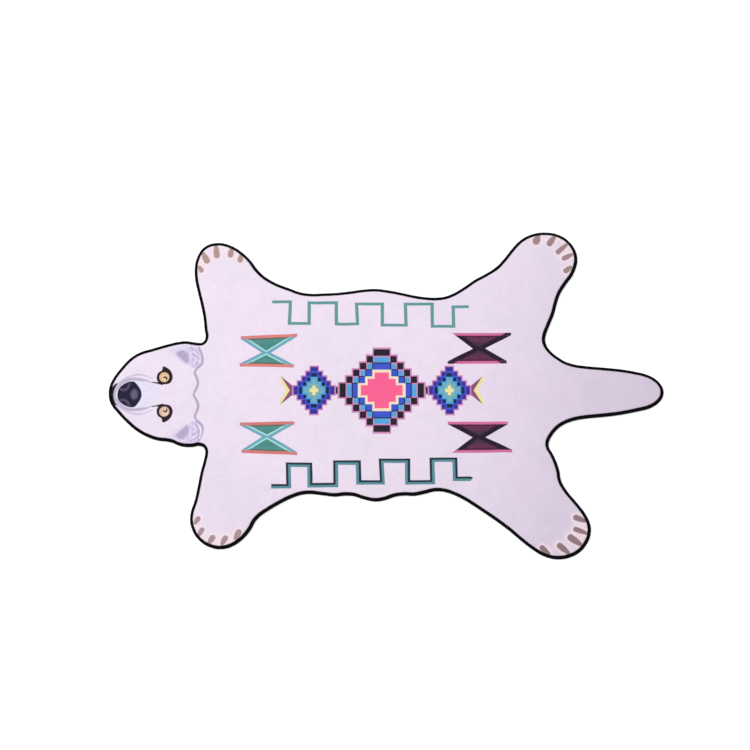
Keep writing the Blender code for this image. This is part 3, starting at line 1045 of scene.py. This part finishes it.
def buildRimFibres():
    chance = np.random.default_rng(seeds["fibres"])
    count = int(rimLength * rimFibres["perMillimetre"])
    along = chance.uniform(0, rimLength, count)
    reach = between(*rimFibres["roots"], chance.uniform(0, 1, count)) + slackAt(along)
    root = onRim(along, reach)
    foot = np.minimum(pileHeight(root) - rimFibres["sunk"], pileHigh)
    locks = softNoise(np.column_stack([along, reach * 0]), rimFibres["lockSize"], seeds["locks"])
    length = chance.uniform(*rimFibres["length"], count) * (1 + rimFibres["lockShare"] * locks)
    lean = chance.uniform(*rimFibres["lean"], count)
    out = onRim(along, reach - 1.0) - root
    drift = np.column_stack([-out[:, 1], out[:, 0]]) * chance.normal(0, rimFibres["drift"], count)[:, None]
    tip = root + (out * lean[:, None] + drift) * length[:, None] * rimFibres["outShare"]
    upright = np.sqrt(np.clip(1 - (rimFibres["outShare"] * lean) ** 2, rimFibres["steepest"], 1))
    rise = upright * length * rimFibres["upShare"]
    clear = between(*rimFibres["overTape"], chance.uniform(0, 1, count))
    tipHeight = np.maximum(foot + rise, tapeHigh + clear)
    turn = chance.uniform(0, 2 * math.pi, count)
    corners = []
    for third in range(3):
        angle = turn + third * 2 * math.pi / 3
        spot = root + np.column_stack([np.cos(angle), np.sin(angle)]) * rimFibres["width"] / 2
        corners.append(np.column_stack([spot, foot]))
    corners.append(np.column_stack([tip, np.minimum(tipHeight, pileHigh + rimFibres["overPile"])]))
    vertices = np.stack(corners, axis=1).reshape(-1, 3)
    faces = copiesOf(np.array([(0, 2, 1), (0, 1, 3), (1, 2, 3), (2, 0, 3)]), count, 4)
    piece = newMesh("rimFibres", vertices * mm, faces, smooth=False)
    giveColours(piece, np.repeat(paint(root), 4, axis=0))
    giveMap(piece, fromAbove(vertices[faces.ravel()]))
    print(f"rimFibres: {count} fibres, {len(faces)} triangles")
    return piece


rimFibrePiece = buildRimFibres()


# Shaders
def give(socket, value):
    # a link where the value comes from a socket, or else the plain value
    if isinstance(value, bpy.types.NodeSocket):
        socket.id_data.links.new(value, socket)
    else:
        socket.default_value = value


def giveAll(sockets, values):
    for socket, value in zip(sockets, values):
        give(socket, value)


def shaderNode(tree, kind, **values):
    node = tree.nodes.new("ShaderNode" + kind)
    for name, value in values.items():
        setattr(node, name, value)
    return node


def mathNode(tree, operation, *values):
    node = shaderNode(tree, "Math", operation=operation)
    giveAll(node.inputs, values)
    return node.outputs[0]


def stretched(tree, value, low, high, newLow=0.0, newHigh=1.0):
    # low to high spread over the new range, and held there beyond it
    node = shaderNode(tree, "MapRange")
    giveAll(node.inputs, (value, low, high, newLow, newHigh))
    return node.outputs[0]


def mixNumber(tree, factor, first, second):
    node = shaderNode(tree, "Mix", data_type="FLOAT")
    giveAll((node.inputs[0], *node.inputs[2:4]), (factor, first, second))
    return node.outputs[0]


def mixColour(tree, factor, first, second, blend="MIX"):
    node = shaderNode(tree, "Mix", data_type="RGBA", blend_type=blend)
    giveAll((node.inputs[0], *node.inputs[6:8]), (factor, first, second))
    return node.outputs[2]


def newGroup(name, inputs, outputs):
    group = bpy.data.node_groups.new(name, "ShaderNodeTree")
    for label, value in inputs.items():
        socket = group.interface.new_socket(label, in_out="INPUT", socket_type="NodeSocketFloat")
        socket.default_value = value
    for label in outputs:
        group.interface.new_socket(label, in_out="OUTPUT", socket_type="NodeSocketFloat")
    return group, group.nodes.new("NodeGroupInput").outputs, group.nodes.new("NodeGroupOutput").inputs


def useGroup(tree, name, values):
    node = shaderNode(tree, "Group", node_tree=bpy.data.node_groups[name])
    for label, value in values.items():
        give(node.inputs[label], value)
    return node.outputs


def sizedTexture(group, kind, place, size, **values):
    # size: in millimetres
    node = shaderNode(group, "Tex" + kind)
    give(node.inputs["Vector"], place)
    give(node.inputs["Scale"], mathNode(group, "DIVIDE", 1000.0, size))
    for label, value in values.items():
        give(node.inputs[label], value)
    return node.outputs


fibreGrain = {
    "inputs": {"Fibre Size": 0.9, "Tuft Size": 2.0, "Tuft Share": 0.0, "Lock Size": 6.0, "Lock Share": 0.4,
               "Fleck Size": 3.0},
    "tuftFrom": (0.75, 0.1), "flecksFrom": (0.52, 0.68),
}


def makeFibreGrain():
    # fine fibre tips, tufts and slightly larger locks of them, with a few flecks
    outputs = ("Tips", "Height", "Mottle", "Flecks")
    group, given, result = newGroup("fibreGrain", fibreGrain["inputs"], outputs)
    place = shaderNode(group, "TexCoord").outputs["Object"]
    fine = sizedTexture(group, "Noise", place, given["Fibre Size"], Detail=3.0, Roughness=0.7)["Fac"]
    tufts = sizedTexture(group, "Voronoi", place, given["Tuft Size"])["Distance"]
    locks = sizedTexture(group, "Noise", place, given["Lock Size"], Detail=3.0)["Fac"]
    flecks = sizedTexture(group, "Noise", place, given["Fleck Size"], Detail=1.0)["Fac"]
    outer, inner = fibreGrain["tuftFrom"]
    tips = mixNumber(group, given["Tuft Share"], fine, stretched(group, tufts, inner, outer, 1.0, 0.0))
    give(result["Tips"], tips)
    give(result["Height"], mathNode(group, "MULTIPLY_ADD", locks, given["Lock Share"], tips))
    give(result["Mottle"], locks)
    give(result["Flecks"], stretched(group, flecks, *fibreGrain["flecksFrom"]))


ribWeave = {
    "inputs": {"Along": 0.0, "Across": 0.0, "Rib Pitch": 1.1, "Thread Pitch": 0.45},
    "threadHeight": 0.35,
}


def makeRibWeave():
    # ribs across the strip, bound by fine threads along it
    group, given, result = newGroup("ribWeave", ribWeave["inputs"], ("Height", "Thread"))
    turns = mathNode(group, "DIVIDE", given["Along"], given["Rib Pitch"])
    ribs = mathNode(group, "SINE", mathNode(group, "MULTIPLY", turns, 2 * math.pi))
    rounded = mathNode(group, "SQRT", mathNode(group, "MULTIPLY_ADD", ribs, 0.5, 0.5))
    rows = mathNode(group, "DIVIDE", given["Across"], given["Thread Pitch"])
    stagger = mathNode(group, "MULTIPLY", mathNode(group, "FLOOR", turns), math.pi)
    threads = mathNode(group, "SINE", mathNode(group, "MULTIPLY_ADD", rows, 2 * math.pi, stagger))
    threads = mathNode(group, "MULTIPLY_ADD", threads, 0.5, 0.5)
    give(result["Height"], mathNode(group, "MULTIPLY_ADD", threads, ribWeave["threadHeight"], rounded))
    give(result["Thread"], threads)


makeFibreGrain()
makeRibWeave()


def newMaterial(name, look):
    material = bpy.data.materials.new(name)
    material.use_nodes = True
    tree = material.node_tree
    shader = tree.nodes["Principled BSDF"].inputs
    give(shader["Sheen Weight"], look.get("sheen", 0.0))
    give(shader["Specular IOR Level"], look["specular"])
    return material, tree, shader


def dress(tree, shader, look, colour, rough, height):
    # rough: a mask that is read over the look's roughFrom and gives its range of roughness
    give(shader["Base Color"], colour)
    give(shader["Roughness"], stretched(tree, rough, *look["roughFrom"], *look["roughness"]))
    bump = shaderNode(tree, "Bump")
    distance, strength = look["bump"]
    give(bump.inputs["Distance"], distance * mm)
    give(bump.inputs["Strength"], strength)
    give(bump.inputs["Height"], height)
    give(shader["Normal"], bump.outputs["Normal"])


pileLook = {
    "sheen": 0.08, "specular": 0.1,
    "grain": {"Fibre Size": 0.6, "Tuft Size": 1.2, "Tuft Share": 0.25, "Lock Size": 4.0, "Fleck Size": 1.9},
    "deep": (0.86, 0.85, 0.87, 1.0),          # the ink's shade between the tips
    # how far the fibre tips and the locks lift the ink out of its painted shade
    "tipsFrom": (0.3, 0.66), "tipShare": 0.6, "lockHeightFrom": (0.35, 0.65), "lockShadeShare": 0.4,
    "root": (226, 214, 230), "rootShare": 0.045,   # pale roots that show between the dyed tips
    "roughFrom": (0.3, 0.7), "roughness": (0.86, 1.0), "bump": (0.5, 0.75),
}


def pileMaterial(look):
    material, tree, shader = newMaterial("printedPile", look)
    ink = shaderNode(tree, "Attribute", attribute_name="print").outputs["Color"]
    grain = useGroup(tree, "fibreGrain", look["grain"])
    tips = stretched(tree, grain["Tips"], *look["tipsFrom"])
    lockHeight = stretched(tree, grain["Mottle"], *look["lockHeightFrom"])
    # painted shade: the ink darkens towards deep where the fibre tips and the locks sink, the same grain that
    # lifts the bump
    lit = mathNode(tree, "MULTIPLY_ADD", lockHeight, look["lockShadeShare"],
                   mathNode(tree, "MULTIPLY", tips, look["tipShare"]))
    inkWithPaintedShade = mixColour(tree, lit, mixColour(tree, 1.0, ink, look["deep"], "MULTIPLY"), ink)
    roots = mathNode(tree, "MULTIPLY", grain["Flecks"], look["rootShare"])
    colour = mixColour(tree, roots, inkWithPaintedShade, dyed(look["root"]))
    dress(tree, shader, look, colour, grain["Mottle"], grain["Height"])
    return material


# The back and the thread: each has a darker colour, painted shade between its fibre tips, and a lighter one for
# the tips
backLook = {
    "specular": 0.2, "grain": {"Fibre Size": 0.6, "Lock Size": 3.0},
    "colours": ((205, 198, 208), (228, 222, 230)),
    "roughFrom": (0.3, 0.7), "roughness": (0.8, 0.95), "bump": (0.3, 1.0),
}
threadLook = {
    "specular": 0.12, "grain": {"Fibre Size": 0.3, "Lock Size": 2.0},
    "colours": ((5, 4, 7), (24, 21, 29)),
    "roughFrom": (0.3, 0.7), "roughness": (0.45, 0.65), "bump": (0.1, 0.6),
}


def plainMaterial(name, look):
    material, tree, shader = newMaterial(name, look)
    grain = useGroup(tree, "fibreGrain", look["grain"])
    low, high = look["colours"]
    # painted shade: the darker colour lies between the fibre tips, where the bump is low, the lighter on the
    # tips
    colour = mixColour(tree, grain["Tips"], dyed(low), dyed(high))
    dress(tree, shader, look, colour, grain["Mottle"], grain["Height"])
    return material


# The tape's two colours: the lighter one is painted light on its raised threads, the darker one painted shade
# between them
tapeLook = {
    "specular": 0.06, "grain": {"Fibre Size": 0.7, "Lock Size": 14.0},
    "weave": {"Rib Pitch": 1.1, "Thread Pitch": 0.5},
    "colours": ((1, 1, 3), (13, 11, 17)),
    "roughFrom": (0.0, 1.0), "roughness": (0.9, 0.62), "bump": (0.25, 0.8),
}


def tapeMaterial(look):
    material, tree, shader = newMaterial("blackTape", look)
    place = {label: shaderNode(tree, "Attribute", attribute_name=label.lower()).outputs["Fac"]
             for label in ("Along", "Across")}
    weave = useGroup(tree, "ribWeave", {**look["weave"], **place})
    grain = useGroup(tree, "fibreGrain", look["grain"])
    low, high = look["colours"]
    # painted light on the raised threads of the weave, with painted shade between them, varied by the grain's
    # locks
    shade = mathNode(tree, "MULTIPLY", weave["Thread"], grain["Mottle"])
    colour = mixColour(tree, shade, dyed(low), dyed(high))
    dress(tree, shader, look, colour, weave["Thread"], weave["Height"])
    return material


printedPile = pileMaterial(pileLook)
pileCloth.data.materials.append(printedPile)
pileCloth.data.materials.append(plainMaterial("plainBack", backLook))
rimFibrePiece.data.materials.append(printedPile)
edgeTape.data.materials.append(tapeMaterial(tapeLook))
tapeStitches.data.materials.append(plainMaterial("blackThread", threadLook))


# Stage, light and camera
floorPlane = {
    "size": 60.0, "specular": 0.0,
    "lift": 0.22,          # light of its own, as in an overexposed backdrop
}


white = (1.0, 1.0, 1.0, 1.0)


def buildStage():
    far = floorPlane["size"] / 2
    corners = [(-far, -far, 0), (far, -far, 0), (far, far, 0), (-far, far, 0)]
    piece = newMesh("floor", corners, [(0, 1, 2, 3)], smooth=False)
    material, tree, shader = newMaterial("paleFloor", floorPlane)
    give(shader["Base Color"], white)
    give(shader["Roughness"], 1.0)
    give(shader["Emission Color"], white)
    give(shader["Emission Strength"], floorPlane["lift"])
    piece.data.materials.append(material)


lights = {
    "horizon": 1.0, "zenith": 0.82,   # brightness of the sky
    "full": 0.7,                      # the height from which it is the zenith's
    "key": {"from": (-0.75, 0.45, 1.0), "power": 1.25, "spread": 50.0},
}


def buildSky():
    # a white studio: brightest at the horizon, all round
    world = bpy.data.worlds.new("studio")
    bpy.context.scene.world = world
    world.use_nodes = True
    tree = world.node_tree
    split = shaderNode(tree, "SeparateXYZ")
    give(split.inputs[0], shaderNode(tree, "TexCoord").outputs["Generated"])
    shade = stretched(tree, split.outputs["Z"], 0.0, lights["full"], lights["horizon"], lights["zenith"])
    background = tree.nodes["Background"].inputs
    give(background["Strength"], shade)
    give(background["Color"], white)


def buildKey():
    key = lights["key"]
    data = bpy.data.lights.new("key", "SUN")
    data.energy = key["power"]
    data.angle = math.radians(key["spread"])
    lamp = addObject("key", data)
    lamp.location = key["from"]
    lamp.rotation_euler = Vector(key["from"]).to_track_quat("Z", "Y").to_euler()


view = {"lens": 50.0, "sensor": 36.0, "distance": 2.8286, "tilt": 10.0, "target": (-0.0302, 0.0464, 0.0)}


def buildCamera():
    tilt = math.radians(view["tilt"])
    data = bpy.data.cameras.new("camera")
    data.lens = view["lens"]
    data.sensor_width = view["sensor"]
    camera = addObject("camera", data)
    away = Vector((0.0, -math.sin(tilt), math.cos(tilt)))
    camera.location = Vector(view["target"]) + away * view["distance"]
    camera.rotation_euler = (tilt, 0.0, 0.0)
    bpy.context.scene.camera = camera


buildStage()
buildSky()
buildKey()
buildCamera()
bpy.context.scene.view_settings.view_transform = "Standard"

for piece, node, slot in ((pileCloth, "mat", "pile"), (rimFibrePiece, "mat", "pile"),
                          (edgeTape, "edge_tape", "edge_tape"), (tapeStitches, "edge_tape", "edge_tape")):
    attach(piece, "root")
    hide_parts(node)
